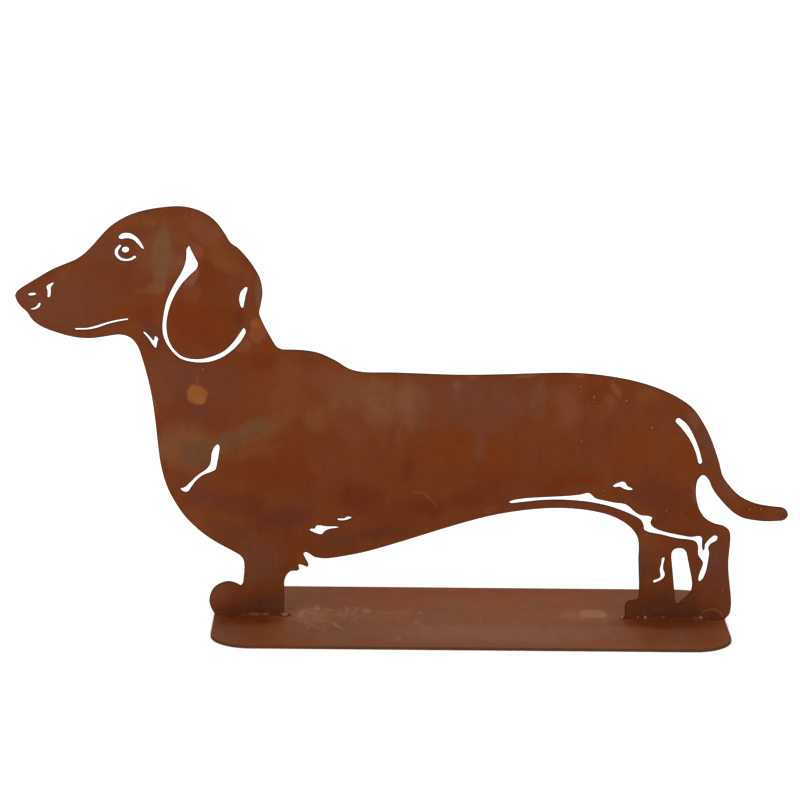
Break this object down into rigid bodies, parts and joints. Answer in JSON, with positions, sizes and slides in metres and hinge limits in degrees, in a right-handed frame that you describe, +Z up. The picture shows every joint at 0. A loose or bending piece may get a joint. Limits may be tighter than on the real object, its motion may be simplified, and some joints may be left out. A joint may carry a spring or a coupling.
{
  "type": "sheet steel dog silhouette sculpture",
  "caption": "Flat rusted steel silhouette of a standing dachshund, pierced with eye, ear and limb marks, welded upright on a round-cornered steel base plate.",
  "frame": {"origin": "centre of the base plate's underside", "axes": "+Z up, +X along the dog from nose to tail, -Y the side with the weld beads"},
  "size_m": [0.5, 0.13, 0.2729],
  "materials": {
    "base_plate": "satin rust patina on steel plate, sealed, paler and pinker than the dog",
    "dog_sheet": "satin rust patina on steel sheet, mottled orange, red brown and olive brown",
    "weld": "rusted weld bead, darker and a little glossier"
  },
  "bodies": {
    "root": {"base_plate": "base_plate", "dog_sheet": "dog_sheet", "front_foot_weld": "weld", "hind_foot_weld": "weld"}
  },
  "joints": []
}
